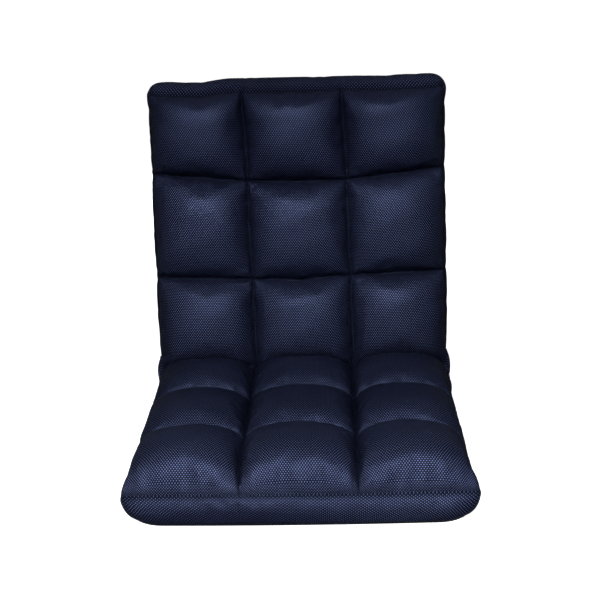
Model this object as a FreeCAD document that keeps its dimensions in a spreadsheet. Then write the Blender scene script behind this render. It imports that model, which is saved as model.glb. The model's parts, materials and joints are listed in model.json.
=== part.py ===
import FreeCAD, Part
import math
import os

import Sketcher

# Folding floor chair: a padded seat and a padded back on steel tube frames, joined by two
# ratchet hinges. Both pads are drawn lying flat, the seat towards -Y and the back towards +Y
# of the hinge axis, with the side a person sits on upwards. Each back piece is then turned
# up about the hinge axis to its rest angle.

os.makedirs("parts", exist_ok=True)
doc = FreeCAD.newDocument("FoldingFloorChair")

# Driving sizes in millimetres and degrees.
SIZES = {
    "back_width": 504,
    "back_length": 525,
    "seat_overhang": 3,
    "seat_length": 507,
    "front_bow": 20,
    "seat_corner": 12,
    "back_corner": 25,
    "hinge_height": 50,
    "rest_angle": 82.5,
    "cloth_thick": 1.5,
    "soft_gap": 0.3,
    # Heights are measured from the level of the hinge axis, along each pad's own thickness.
    "slab_top": -2,
    "slab_start": 30,
    "seam_rise": 20,
    "crown_rise": 60,
    "edge_slope": 5,
    # Rows of quilted puffs, counted away from the hinge.
    "seat_rear_row": 160,
    "seat_middle_row": 161,
    "back_lower_row": 164.5,
    "back_middle_row": 164,
    "puff_margin": 6,
    "puff_sink": 2,
    "crease_margin": 12,
    # Room in the pads for the hinges, which sit near each side of the chair.
    "notch_room": 15,
    "notch_length": 108,
    "pocket_room": 11,
    "pocket_length": 50,
    "pocket_rise": 28,
    # Steel tube frames and the cross tubes welded between their sides.
    "tube_radius": 9.5,
    "tube_wall": 1.2,
    "tube_inset": 19,
    "tube_drop": 26,
    "tube_bend": 60,
    "tube_start_gap": 2,
    "seat_tube_end": 478,
    "back_tube_start": 70,
    "back_tube_end": 500,
    "cross_radius": 6.5,
    "cross_wall": 1,
    "cross_first": 200,
    "cross_second": 350,
    # Flat tongue pressed at each rear end of the seat tube.
    "tongue_taper": 18,
    "tongue_end": 50,
    "tongue_half_height": 12,
    # Ratchet hinge.
    "plate_thick": 2.5,
    "plate_radius": 25,
    "plate_shoulder": 38,
    "plate_shoulder_rise": 16,
    "plate_neck": 46,
    "plate_end_gap": 0.5,
    "arm_thick": 5,
    "arm_side_gap": 0.1,
    "arm_tail_overlap": 4,
    "arm_tail_gap": 0.5,
    "arm_neck": 26,
    "root_radius": 20.2,
    "tooth_tip_radius": 22,
    "tooth_pitch": 7.5,
    "tooth_half_root": 1,
    "tooth_half_tip": 0.3,
    "tooth_count": 14,
    "pivot_radius": 5,
    "running_gap": 0.04,
    "seated_gap": 0.02,
    "pivot_head_radius": 8,
    "pivot_head_height": 2.5,
    "rivet_radius": 2.5,
    "rivet_head_radius": 4.5,
    "rivet_head_height": 1.5,
    "rivet_spacing": 18,
    "rivet_edge": 10,
    "rivet_clear": 8,
    # Pawl: its places are measured outwards along pawl_angle and across it.
    "pawl_angle": 205,
    "pawl_thick": 4.6,
    "pawl_pin_out": 22,
    "pawl_pin_across": -18,
    "pawl_pin_radius": 3,
    "pawl_pin_head_radius": 5,
    "pawl_boss_radius": 6,
    "pawl_heel": 22.3,
    "pawl_crown": 28.5,
    "pawl_nose": 20.4,
    "spring_post_out": 37,
    "spring_post_across": -4,
    "spring_leaf": 0.8,
    "spring_width": 4,
    "gusset_thick": 8,
    "gusset_radius": 27,
}

sheet = doc.addObject("Spreadsheet::Sheet", "Sizes")
for line, (name, amount) in enumerate(SIZES.items(), start=1):
    sheet.set(f"A{line}", name)
    sheet.set(f"B{line}", str(amount))
    sheet.setAlias(f"B{line}", name)
doc.recompute()

# Sizes that follow from the driving ones.
FOLLOWING = {
    "seat_width": "(Sizes.back_width + 2 * Sizes.seat_overhang)",
    "tube_side": "(Sizes.back_width / 2 - Sizes.tube_inset)",
    "notch_inner": "(Sizes.back_width / 2 - Sizes.tube_inset - Sizes.notch_room)",
    "pocket_inner": "(Sizes.back_width / 2 - Sizes.tube_inset - Sizes.pocket_room)",
    "hinge_back": "(Sizes.seat_length / 2)",
    "slab_bottom": "(Sizes.cloth_thick + Sizes.soft_gap - Sizes.hinge_height)",
    "crease_run": "(Sizes.seam_rise / tan((180 - Sizes.rest_angle) / 2))",
    "seat_tube_start": "(Sizes.notch_length - Sizes.tube_start_gap)",
    "tongue_root": "(Sizes.notch_length - Sizes.tube_start_gap - Sizes.tongue_taper)",
    "arm_tail_end": "(Sizes.notch_length + Sizes.arm_tail_overlap)",
    "back_rivet_first": "(Sizes.notch_length - Sizes.rivet_clear - Sizes.rivet_spacing)",
    "back_rivet_second": "(Sizes.notch_length - Sizes.rivet_clear)",
}
FOLLOWING["seat_rivet_first"] = f"({FOLLOWING['tongue_root']} - Sizes.rivet_edge - Sizes.rivet_spacing)"
FOLLOWING["seat_rivet_second"] = f"({FOLLOWING['tongue_root']} - Sizes.rivet_edge)"

SEAT = "seat"
BACK = "back"
PANELS = (SEAT, BACK)
SIDES = (("left", -1), ("right", 1))


# Helpers for sketches and features.
def number(text):
    """Value of an expression written in the sheet's names."""
    return float(sheet.evalExpression(text))


def size(name):
    """Expression that reads one size."""
    return FOLLOWING.get(name, f"Sizes.{name}")


def along(panel, distance):
    """Coordinate along Y of a distance from the hinge axis on the flat seat or back."""
    return f"-({distance})" if panel == SEAT else f"({distance})"


def turned(out, across, angle):
    """Coordinates of a point given outwards along an angle and across it."""
    first = f"(({out}) * cos({angle}) - ({across}) * sin({angle}))"
    second = f"(({out}) * sin({angle}) + ({across}) * cos({angle}))"
    return first, second


def new_body(label):
    """Empty body for one sub-part."""
    body = doc.addObject("PartDesign::Body", label)
    body.Label = label
    body.AllowCompound = True
    return body


def origin_part(body, role):
    """One of the body's own origin planes or axes."""
    return next(item for item in body.Origin.OriginFeatures if item.Role == role)


def sketch_on(body, name, role, lift="0"):
    """Sketch on one of the body's own origin planes, lifted off it along its normal."""
    sketch = body.newObject("Sketcher::SketchObject", name)
    sketch.AttachmentSupport = [(origin_part(body, role), "")]
    sketch.MapMode = "FlatFace"
    sketch.setExpression("AttachmentOffset.Base.z", lift)
    return sketch


def pin(sketch, geometry, end, kind, text):
    """Hold one coordinate of a sketch point at an expression."""
    constraint = Sketcher.Constraint(kind, -1, 1, geometry, end, number(text))
    index = sketch.addConstraint(constraint)
    sketch.setExpression(f"Constraints[{index}]", text)


def outline(sketch, corners, closed=True):
    """Chain of sides through corners of (x, y, centre); a centre makes the next side an arc."""
    points = [FreeCAD.Vector(number(x), number(y), 0) for x, y, centre in corners]
    count = len(corners) if closed else len(corners) - 1
    sides = []
    for index in range(count):
        start = points[index]
        stop = points[(index + 1) % len(points)]
        centre = corners[index][2]
        if centre is None:
            geometry = sketch.addGeometry(Part.LineSegment(start, stop))
            sides.append((geometry, 1, 2))
            continue
        middle = FreeCAD.Vector(number(centre[0]), number(centre[1]), 0)
        first = start - middle
        last = stop - middle
        first_angle = math.atan2(first.y, first.x)
        last_angle = math.atan2(last.y, last.x)
        circle = Part.Circle(middle, FreeCAD.Vector(0, 0, 1), first.Length)
        if first.cross(last).z > -0.001:
            geometry = sketch.addGeometry(Part.ArcOfCircle(circle, first_angle, last_angle))
            sides.append((geometry, 1, 2))
        else:
            geometry = sketch.addGeometry(Part.ArcOfCircle(circle, last_angle, first_angle))
            sides.append((geometry, 2, 1))
        chord = stop - start
        if abs(chord.x) > abs(chord.y):
            pin(sketch, geometry, 3, "DistanceY", centre[1])
        else:
            pin(sketch, geometry, 3, "DistanceX", centre[0])
    for index, (geometry, start_end, stop_end) in enumerate(sides):
        pin(sketch, geometry, start_end, "DistanceX", corners[index][0])
        pin(sketch, geometry, start_end, "DistanceY", corners[index][1])
        if closed or index + 1 < count:
            after, after_start, after_stop = sides[(index + 1) % count]
            joined = Sketcher.Constraint("Coincident", geometry, stop_end, after, after_start)
            sketch.addConstraint(joined)
    if not closed:
        geometry, start_end, stop_end = sides[-1]
        pin(sketch, geometry, stop_end, "DistanceX", corners[-1][0])
        pin(sketch, geometry, stop_end, "DistanceY", corners[-1][1])


def circle(sketch, x, y, radius):
    """Full circle with its centre and radius held at expressions."""
    centre = FreeCAD.Vector(number(x), number(y), 0)
    shape = Part.Circle(centre, FreeCAD.Vector(0, 0, 1), number(radius))
    geometry = sketch.addGeometry(shape)
    pin(sketch, geometry, 3, "DistanceX", x)
    pin(sketch, geometry, 3, "DistanceY", y)
    constraint = Sketcher.Constraint("Radius", geometry, number(radius))
    index = sketch.addConstraint(constraint)
    sketch.setExpression(f"Constraints[{index}]", radius)


def box_outline(sketch, panel, low_x, high_x, start, end):
    """Plain rectangle between two widths and two distances from the hinge axis."""
    corners = [
        (low_x, along(panel, start), None),
        (high_x, along(panel, start), None),
        (high_x, along(panel, end), None),
        (low_x, along(panel, end), None),
    ]
    outline(sketch, corners)


def pad_outline(sketch, panel, half, start, end, bow, corner):
    """Plan of a pad: square at the hinge end, round corners and a bowed edge at the other."""
    flank = f"({end}) - ({bow}) - ({corner})"
    shoulder = f"({end}) - ({bow})"
    inner = f"(({half}) - ({corner}))"
    edge_centre = None
    if number(bow) > 0:
        bow_radius = f"({inner} ^ 2 + ({bow}) ^ 2) / (2 * ({bow}))"
        edge_centre = ("0", along(panel, f"({end}) - {bow_radius}"))
    corners = [
        (half, along(panel, start), None),
        (half, along(panel, flank), (inner, along(panel, flank))),
        (inner, along(panel, shoulder), edge_centre),
        (f"-{inner}", along(panel, shoulder), (f"-{inner}", along(panel, flank))),
        (f"-({half})", along(panel, flank), None),
        (f"-({half})", along(panel, start), None),
    ]
    outline(sketch, corners)


def extrude(body, sketch, length, centred=False):
    """Pad a sketch, upwards or to both sides of it."""
    feature = body.newObject("PartDesign::Pad", f"{sketch.Name}_pad")
    feature.Profile = sketch
    feature.setExpression("Length", length)
    if centred:
        feature.SideType = "Symmetric"
    body.Tip = feature
    return feature


def cut_through(body, sketch, length):
    """Remove a sketch's area to both sides of it."""
    feature = body.newObject("PartDesign::Pocket", f"{sketch.Name}_cut")
    feature.Profile = sketch
    feature.SideType = "Symmetric"
    feature.setExpression("Length", length)
    body.Tip = feature
    return feature


def loft(body, name, sections, ruled):
    """Solid through a stack of sections."""
    feature = body.newObject("PartDesign::AdditiveLoft", name)
    feature.Profile = sections[0]
    feature.Sections = sections[1:]
    feature.Ruled = ruled
    body.Tip = feature
    return feature


def mirror_sideways(body, name, features):
    """Copy features to the other side of the chair's middle plane."""
    feature = body.newObject("PartDesign::Mirrored", name)
    feature.Originals = features
    feature.MirrorPlane = (origin_part(body, "YZ_Plane"), [""])
    body.Tip = feature
    return feature


def place(item, panel, sideways="0"):
    """Put a piece drawn about the hinge axis where it rests on the chair."""
    angle = "0" if panel == SEAT else size("rest_angle")
    spot = f"vector({sideways}; {size('hinge_back')}; {size('hinge_height')})"
    item.setExpression("Placement", f"placement({spot}; rotation(vector(1; 0; 0); {angle}))")


def half_width(panel):
    """Half of a pad's width."""
    return f"{size(panel + '_width')} / 2"


def plan_sizes(panel):
    """End, bow and corner radius of a pad's plan."""
    if panel == SEAT:
        return size("seat_length"), size("front_bow"), size("seat_corner")
    return size("back_length"), "0", size("back_corner")


# Steel frames.
def tube_path(sketch, panel, start):
    """U of the frame's centre line, open at the hinge end."""
    side = size("tube_side")
    bend = size("tube_bend")
    end = size(f"{panel}_tube_end")
    turn = f"{end} - {bend}"
    inner = f"({side} - {bend})"
    corners = [
        (f"-{side}", along(panel, start), None),
        (f"-{side}", along(panel, turn), (f"-{inner}", along(panel, turn))),
        (f"-{inner}", along(panel, end), None),
        (inner, along(panel, end), (inner, along(panel, turn))),
        (side, along(panel, turn), None),
        (side, along(panel, start), None),
    ]
    outline(sketch, corners, closed=False)
    return [f"Edge{index}" for index in range(1, len(corners))]


def sweep_tube(body, panel, start, radius, inner_radius=None, kind="PartDesign::AdditivePipe"):
    """Round section carried along the frame's centre line."""
    lift = f"-({along(panel, start)})"
    section = sketch_on(body, f"{body.Name}_section", "XZ_Plane", lift)
    circle(section, f"-{size('tube_side')}", f"-{size('tube_drop')}", radius)
    if inner_radius:
        circle(section, f"-{size('tube_side')}", f"-{size('tube_drop')}", inner_radius)
    path = sketch_on(body, f"{body.Name}_path", "XY_Plane", f"-{size('tube_drop')}")
    edges = tube_path(path, panel, start)
    sweep = body.newObject(kind, f"{body.Name}_sweep")
    sweep.Profile = section
    sweep.Spine = (path, edges)
    body.Tip = sweep
    return sweep


def frame_tube(panel):
    """One U-shaped tube of a frame."""
    body = new_body(f"{panel}_frame_tube")
    radius = size("tube_radius")
    inner = f"{radius} - {size('tube_wall')}"
    sweep_tube(body, panel, size(f"{panel}_tube_start"), radius, inner)
    return body


def tongue_ends(body):
    """Press the seat tube flat at its two rear ends, with two rivet holes in each."""
    side = f"-{size('tube_side')}"
    middle = f"-{size('tube_drop')}"
    radius = size("tube_radius")
    half_gap = f"({size('arm_thick')} / 2 + {size('arm_side_gap')})"
    straight = f"({size('tongue_half_height')} - {half_gap})"
    spread = f"({radius} * cos(45))"
    round_end = sketch_on(body, "tongue_round_end", "XZ_Plane", size("seat_tube_start"))
    centre = (side, middle)
    ring = []
    for x_sign, z_sign in ((1, 1), (-1, 1), (-1, -1), (1, -1)):
        x = f"{side} + {x_sign} * {spread}"
        z = f"{middle} + {z_sign} * {spread}"
        ring.append((x, z, centre))
    outline(round_end, ring)
    flat_ends = []
    for name, lift in (("tongue_flat_start", "tongue_root"), ("tongue_section", "tongue_root")):
        section = sketch_on(body, name, "XZ_Plane", size(lift))
        corners = []
        for x_sign, z_sign, arc in ((1, 1, True), (-1, 1, False), (-1, -1, True), (1, -1, False)):
            x = f"{side} + {x_sign} * {half_gap}"
            z = f"{middle} + {z_sign} * {straight}"
            corners.append((x, z, (side, z) if arc else None))
        outline(section, corners)
        flat_ends.append(section)
    taper = loft(body, "tongue_taper", [round_end, flat_ends[0]], ruled=True)
    tongue = extrude(body, flat_ends[1], f"{size('tongue_root')} - {size('tongue_end')}")
    tongue.Reversed = True
    mirror_sideways(body, "tongues_mirrored", [taper, tongue])
    holes = sketch_on(body, "tongue_holes", "YZ_Plane")
    bore = f"{size('rivet_radius')} + {size('seated_gap')}"
    for place_name in ("seat_rivet_first", "seat_rivet_second"):
        circle(holes, along(SEAT, size(place_name)), middle, bore)
    cut_through(body, holes, size("seat_width"))


def tube_rivet_holes(body):
    """Holes through the sides of the back tube for the rivets that hold the hinge arms."""
    holes = sketch_on(body, "tube_holes", "YZ_Plane")
    bore = f"{size('rivet_radius')} + {size('seated_gap')}"
    for place_name in ("back_rivet_first", "back_rivet_second"):
        circle(holes, along(BACK, size(place_name)), f"-{size('tube_drop')}", bore)
    cut_through(body, holes, size("back_width"))


def cross_tubes(panel):
    """Two straight tubes welded between the sides of a frame."""
    body = new_body(f"{panel}_cross_tubes")
    rings = sketch_on(body, f"{panel}_cross_rings", "YZ_Plane")
    for place_name in ("cross_first", "cross_second"):
        spot = along(panel, size(place_name))
        circle(rings, spot, f"-{size('tube_drop')}", size("cross_radius"))
        inner = f"{size('cross_radius')} - {size('cross_wall')}"
        circle(rings, spot, f"-{size('tube_drop')}", inner)
    length = f"2 * ({size('tube_side')} - {size('tube_radius')})"
    extrude(body, rings, length, centred=True)
    return body


nodes = []
for panel in PANELS:
    frame = frame_tube(panel)
    if panel == SEAT:
        tongue_ends(frame)
    else:
        tube_rivet_holes(frame)
    for item in (frame, cross_tubes(panel)):
        place(item, panel)
        nodes.append(item)


# Foam slabs, with channels for the frames and room at the corners for the hinges.
def foam_slab(panel):
    """Flat foam pad that the frame lies inside."""
    body = new_body(f"{panel}_foam_slab")
    end, bow, corner = plan_sizes(panel)
    inset = f"({size('cloth_thick')} + {size('soft_gap')})"
    plan = sketch_on(body, f"{panel}_slab_plan", "XY_Plane", size("slab_bottom"))
    half = f"{half_width(panel)} - {inset}"
    pad_outline(plan, panel, half, size("slab_start"), f"{end} - {inset}", bow, corner)
    extrude(body, plan, f"{size('slab_top')} - {size('slab_bottom')}")
    notches = sketch_on(body, f"{panel}_notches", "XY_Plane")
    for low, high in ((-1, -2), (1, 2)):
        inner = f"{low} * {size('notch_inner')}"
        outer = f"{high} * {size('notch_inner')}"
        box_outline(notches, panel, inner, outer, "0", size("notch_length"))
    cut_through(body, notches, f"4 * {size('hinge_height')}")
    room = f"{size('tube_radius')} + {size('soft_gap')}"
    start = f"({size('notch_length')} - {size('soft_gap')})"
    sweep_tube(body, panel, start, room, kind="PartDesign::SubtractivePipe")
    channels = sketch_on(body, f"{panel}_cross_channels", "YZ_Plane")
    for place_name in ("cross_first", "cross_second"):
        spot = along(panel, size(place_name))
        radius = f"{size('cross_radius')} + {size('soft_gap')}"
        circle(channels, spot, f"-{size('tube_drop')}", radius)
    cut_through(body, channels, f"2 * {size('tube_side')}")
    return body


# Cover cloth round the slabs.
def boxing_band(panel):
    """Strip of cover cloth round the three free edges of a slab."""
    body = new_body(f"{panel}_boxing_band")
    end, bow, corner = plan_sizes(panel)
    start = f"({size('notch_length')} + {size('soft_gap')})"
    thick = size("cloth_thick")
    height = f"{size('slab_top')} - {size('slab_bottom')}"
    outer = sketch_on(body, f"{panel}_band_outside", "XY_Plane", size("slab_bottom"))
    pad_outline(outer, panel, half_width(panel), start, end, bow, corner)
    extrude(body, outer, height)
    inner = sketch_on(body, f"{panel}_band_inside", "XY_Plane", size("slab_bottom"))
    half = f"{half_width(panel)} - {thick}"
    pad_outline(inner, panel, half, f"{start} - 10", f"{end} - {thick}", bow, corner)
    cut_through(body, inner, f"4 * {size('hinge_height')}")
    return body


def flat_cloth(panel, label):
    """Cloth over the side of a slab that faces away from the person."""
    body = new_body(label)
    end, bow, corner = plan_sizes(panel)
    plan = sketch_on(body, f"{label}_plan", "XY_Plane", f"-{size('hinge_height')}")
    pad_outline(plan, panel, half_width(panel), size("soft_gap"), end, bow, corner)
    extrude(body, plan, size("cloth_thick"))
    return body


# Quilted rows of three puffs.
def puff_section(body, name, middle, half_x, half_y, lift):
    """Rounded rectangle at one height of a puff."""
    section = sketch_on(body, name, "XY_Plane", lift)
    radius = f"(0.45 * min({half_x}; {half_y}))"
    x_mid, y_mid = middle
    corners = []
    rounds = ((1, -1), (1, 1), (-1, 1), (-1, -1))
    for x_sign, y_sign in rounds:
        x_far = f"{x_mid} + {x_sign} * {half_x}"
        x_near = f"{x_mid} + {x_sign} * ({half_x} - {radius})"
        y_far = f"{y_mid} + {y_sign} * {half_y}"
        y_near = f"{y_mid} + {y_sign} * ({half_y} - {radius})"
        centre = (x_near, y_near)
        if x_sign == y_sign:
            corners.append((x_far, y_near, centre))
            corners.append((x_near, y_far, None))
        else:
            corners.append((x_near, y_far, centre))
            corners.append((x_far, y_near, None))
    outline(section, corners)
    return section


def quilted_row(panel, label, start, end, row_kind):
    """Row of three crowned puffs on a common layer; row_kind is crease, middle or outer."""
    body = new_body(label)
    gap = size("soft_gap")
    pad_end, bow, corner = plan_sizes(panel)
    half = half_width(panel)
    slope = size("edge_slope")
    low = f"({start} + {gap})"
    high = f"({end} - {gap})"
    layers = []
    heights = (f"{size('slab_top')} + {gap}", f"{size('seam_rise')} - {size('puff_sink')}")
    for index, lift in enumerate(heights):
        inset = f"({index} * {slope})"
        section = sketch_on(body, f"{label}_layer_{index}", "XY_Plane", lift)
        width = f"{half} - {inset}"
        if row_kind == "outer":
            pad_outline(section, panel, width, low, f"{pad_end} - {inset}", bow, corner)
        else:
            box_outline(section, panel, f"-({width})", width, low, high)
        layers.append(section)
    loft(body, f"{label}_layer", layers, ruled=True)

    column = f"({size(panel + '_width')} / 3)"
    margin = size("puff_margin")
    near_margin = size("crease_margin") if row_kind == "crease" else margin
    puff_low = f"({start} + {near_margin})"
    puff_high = f"({end} - {margin})"
    if row_kind == "outer":
        puff_high = f"({end} - {margin} - {bow})"
    middle = (f"-{column}", along(panel, f"({puff_low} + {puff_high}) / 2"))
    half_x = f"({column} / 2 - {margin})"
    half_y = f"(({puff_high} - {puff_low}) / 2)"
    base = f"({size('seam_rise')} - 2 * {size('puff_sink')})"
    rise = f"({size('crown_rise')} - {base})"
    stations = (0, 0.35, 0.65, 0.87, 0.97, 1)
    shares = (1, 0.95, 0.79, 0.53, 0.3, 0.12)
    sections = []
    for index, (station, share) in enumerate(zip(stations, shares)):
        name = f"{label}_puff_{index}"
        lift = f"{base} + {station} * {rise}"
        section = puff_section(body, name, middle, f"({share} * {half_x})", f"({share} * {half_y})", lift)
        sections.append(section)
    puff = loft(body, f"{label}_puff", sections, ruled=False)
    across = body.newObject("PartDesign::LinearPattern", f"{label}_puffs")
    across.Originals = [puff]
    across.Direction = (origin_part(body, "X_Axis"), [""])
    across.setExpression("Length", f"2 * {column}")
    across.Occurrences = 3
    body.Tip = across

    if row_kind == "crease":
        corners = sketch_on(body, f"{label}_hinge_room", "XY_Plane", size("slab_top"))
        for low_sign, high_sign in ((-1, -2), (1, 2)):
            inner = f"{low_sign} * {size('pocket_inner')}"
            outer = f"{high_sign} * {size('pocket_inner')}"
            box_outline(corners, panel, inner, outer, "0", size("pocket_length"))
        room = body.newObject("PartDesign::Pocket", f"{label}_hinge_pocket")
        room.Profile = corners
        room.Reversed = True
        room.setExpression("Length", f"{size('pocket_rise')} - {size('slab_top')}")
        body.Tip = room
    return body


SEAMS = {
    SEAT: ("seat_rear_row", "seat_middle_row"),
    BACK: ("back_lower_row", "back_middle_row"),
}
ROW_LABELS = {
    SEAT: ("seat_rear_row_puffs", "seat_middle_row_puffs", "seat_front_row_puffs"),
    BACK: ("back_lower_row_puffs", "back_middle_row_puffs", "back_top_row_puffs"),
}
CLOTH_LABELS = {SEAT: "seat_base_cloth", BACK: "back_rear_cloth"}

for panel in PANELS:
    crease = size("crease_run")
    first_seam = f"({crease} + {size(SEAMS[panel][0])})"
    second_seam = f"({first_seam} + {size(SEAMS[panel][1])})"
    limits = (crease, first_seam, second_seam, size(f"{panel}_length"))
    soft = [foam_slab(panel), boxing_band(panel), flat_cloth(panel, CLOTH_LABELS[panel])]
    for index, row_kind in enumerate(("crease", "middle", "outer")):
        label = ROW_LABELS[panel][index]
        soft.append(quilted_row(panel, label, limits[index], limits[index + 1], row_kind))
    for item in soft:
        place(item, panel)
        nodes.append(item)


# Ratchet hinges, one at each side.
def bores(body, name, spots):
    """Round holes along X through a plate; spots hold y, z and radius."""
    holes = sketch_on(body, name, "YZ_Plane")
    for y, z, radius in spots:
        circle(holes, y, z, radius)
    cut_through(body, holes, f"4 * {size('arm_thick')}")


def pawl_pin_spot():
    """Place of the pawl's pin."""
    return turned(size("pawl_pin_out"), size("pawl_pin_across"), size("pawl_angle"))


def spring_post_spot():
    """Place of the post that the pawl's spring is wound on."""
    return turned(size("spring_post_out"), size("spring_post_across"), size("pawl_angle"))


def hinge_plate(label):
    """Steel plate riveted to the seat tube's tongue, carrying the pivot and the pawl."""
    body = new_body(label)
    radius = size("plate_radius")
    disc = sketch_on(body, f"{label}_disc", "YZ_Plane")
    circle(disc, "0", "0", radius)
    extrude(body, disc, size("plate_thick"), centred=True)
    reach = f"-({size('tongue_root')} - {size('plate_end_gap')})"
    top = f"({size('tongue_half_height')} - {size('tube_drop')})"
    bottom = f"-({size('tongue_half_height')} + {size('tube_drop')})"
    foot = sketch_on(body, f"{label}_foot", "YZ_Plane")
    corners = [
        ("0", radius, None),
        (f"-{size('plate_shoulder')}", size("plate_shoulder_rise"), None),
        (f"-{size('plate_neck')}", top, None),
        (reach, top, None),
        (reach, bottom, None),
        ("0", f"-{radius}", None),
    ]
    outline(foot, corners)
    extrude(body, foot, size("plate_thick"), centred=True)
    seated = size("seated_gap")
    rivet = f"{size('rivet_radius')} + {seated}"
    middle = f"-{size('tube_drop')}"
    pin_y, pin_z = pawl_pin_spot()
    post_y, post_z = spring_post_spot()
    spots = [
        ("0", "0", f"{size('pivot_radius')} + {seated}"),
        (pin_y, pin_z, f"{size('pawl_pin_radius')} + {seated}"),
        (post_y, post_z, rivet),
        (f"-{size('seat_rivet_first')}", middle, rivet),
        (f"-{size('seat_rivet_second')}", middle, rivet),
    ]
    bores(body, f"{label}_bores", spots)
    return body


def ratchet_arm(label):
    """Toothed arm that turns on the pivot and carries the back's tube on its tail."""
    body = new_body(label)
    root = size("root_radius")
    disc = sketch_on(body, f"{label}_disc", "YZ_Plane")
    circle(disc, "0", "0", root)
    extrude(body, disc, size("arm_thick"), centred=True)
    tail_half = f"({size('tube_radius')} - {size('tube_wall')} - {size('arm_tail_gap')})"
    drop = size("tube_drop")
    tail_low = f"-({drop} + {tail_half})"
    tail_high = f"-({drop} - {tail_half})"
    tail = sketch_on(body, f"{label}_tail", "YZ_Plane")
    corners = [
        ("0", f"-{root}", None),
        (f"2 * {size('arm_neck')}", tail_low, None),
        (size("arm_tail_end"), tail_low, None),
        (size("arm_tail_end"), tail_high, None),
        (f"1.7 * {size('arm_neck')}", tail_high, None),
        (size("arm_neck"), size("slab_top"), None),
        ("0", root, None),
    ]
    outline(tail, corners)
    extrude(body, tail, size("arm_thick"), centred=True)
    pitch = size("tooth_pitch")
    count = size("tooth_count")
    first_angle = f"({size('pawl_angle')} - ({count} - 1.5) * {pitch})"
    tooth_sketch = sketch_on(body, f"{label}_tooth", "YZ_Plane")
    sunk = f"{root} - 1"
    half_root = size("tooth_half_root")
    half_tip = size("tooth_half_tip")
    tip = size("tooth_tip_radius")
    tooth_points = ((sunk, f"-{half_root}"), (tip, f"-{half_tip}"), (tip, half_tip), (sunk, half_root))
    tooth_corners = [(*turned(out, across, first_angle), None) for out, across in tooth_points]
    outline(tooth_sketch, tooth_corners)
    tooth = extrude(body, tooth_sketch, size("arm_thick"), centred=True)
    teeth = body.newObject("PartDesign::PolarPattern", f"{label}_teeth")
    teeth.Originals = [tooth]
    teeth.Axis = (origin_part(body, "X_Axis"), [""])
    teeth.setExpression("Angle", f"({count} - 1) * {pitch}")
    teeth.Occurrences = int(number(count))
    body.Tip = teeth
    rivet = f"{size('rivet_radius')} + {size('seated_gap')}"
    spots = [
        ("0", "0", f"{size('pivot_radius')} + {size('running_gap')}"),
        (size("back_rivet_first"), f"-{drop}", rivet),
        (size("back_rivet_second"), f"-{drop}", rivet),
    ]
    bores(body, f"{label}_bores", spots)
    return body


def pawl(label):
    """Catch with a single nose that sits between two teeth of the arm."""
    body = new_body(label)
    angle = size("pawl_angle")
    pin_out = size("pawl_pin_out")
    pin_across = size("pawl_pin_across")
    boss = sketch_on(body, f"{label}_boss", "YZ_Plane")
    circle(boss, *pawl_pin_spot(), size("pawl_boss_radius"))
    extrude(body, boss, size("pawl_thick"), centred=True)
    heel = size("pawl_heel")
    crown = size("pawl_crown")
    lever = sketch_on(body, f"{label}_lever", "YZ_Plane")
    lever_points = (
        (heel, size("pawl_pin_radius")),
        (heel, f"{pin_across} + {size('pawl_boss_radius')}"),
        (f"{crown} - 0.7", f"{pin_across} + 0.3 * {size('pawl_boss_radius')}"),
        (crown, size("pawl_pin_radius")),
    )
    outline(lever, [(*turned(out, across, angle), None) for out, across in lever_points])
    extrude(body, lever, size("pawl_thick"), centred=True)
    nose = sketch_on(body, f"{label}_nose", "YZ_Plane")
    half_tip = "0.2"
    half_base = "1.1"
    nose_points = (
        (size("pawl_nose"), half_tip),
        (size("pawl_nose"), f"-{half_tip}"),
        (f"{heel} + 0.1", f"-{half_base}"),
        (f"{heel} + 0.1", half_base),
    )
    outline(nose, [(*turned(out, across, angle), None) for out, across in nose_points])
    extrude(body, nose, size("pawl_thick"), centred=True)
    bore = f"{size('pawl_pin_radius')} + {size('running_gap')}"
    bores(body, f"{label}_bore", [(*pawl_pin_spot(), bore)])
    return body


def pawl_spring(label):
    """Spring with an eye round its post and a leaf that bears on the pawl's outer flank."""
    body = new_body(label)
    angle = size("pawl_angle")
    leaf = size("spring_leaf")
    width = size("spring_width")
    post_out = size("spring_post_out")
    post_across = size("spring_post_across")
    inner = f"({size('rivet_radius')} + {size('seated_gap')})"
    outer = f"({inner} + {leaf})"
    eye = sketch_on(body, f"{label}_eye", "YZ_Plane")
    circle(eye, *spring_post_spot(), outer)
    extrude(body, eye, width, centred=True)
    flank = f"({size('pawl_crown')} + {size('seated_gap')})"
    strip = sketch_on(body, f"{label}_leaf", "YZ_Plane")
    points = (
        (f"{post_out} - 0.2 * {outer}", f"{post_across} + {outer}"),
        (f"{flank} + {leaf}", f"{size('pawl_pin_radius')} + 0.4"),
        (flank, f"{size('pawl_pin_radius')} - 0.5"),
        (f"{post_out} - {outer}", f"{post_across} + 0.6 * {outer}"),
    )
    outline(strip, [(*turned(out, across, angle), None) for out, across in points])
    extrude(body, strip, width, centred=True)
    bores(body, f"{label}_bore", [(*spring_post_spot(), inner)])
    return body


def rivets(label, spots, shank, head, head_height, half_grip):
    """Rivets along X with a head at each end; spots hold y and z."""
    body = new_body(label)
    shanks = sketch_on(body, f"{label}_shanks", "YZ_Plane")
    for y, z in spots:
        circle(shanks, y, z, shank)
    extrude(body, shanks, f"2 * ({half_grip})", centred=True)
    for name, lift in (("near", f"-({half_grip}) - ({head_height})"), ("far", half_grip)):
        heads = sketch_on(body, f"{label}_{name}_heads", "YZ_Plane", lift)
        for y, z in spots:
            circle(heads, y, z, head)
        extrude(body, heads, head_height)
    return body


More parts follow.
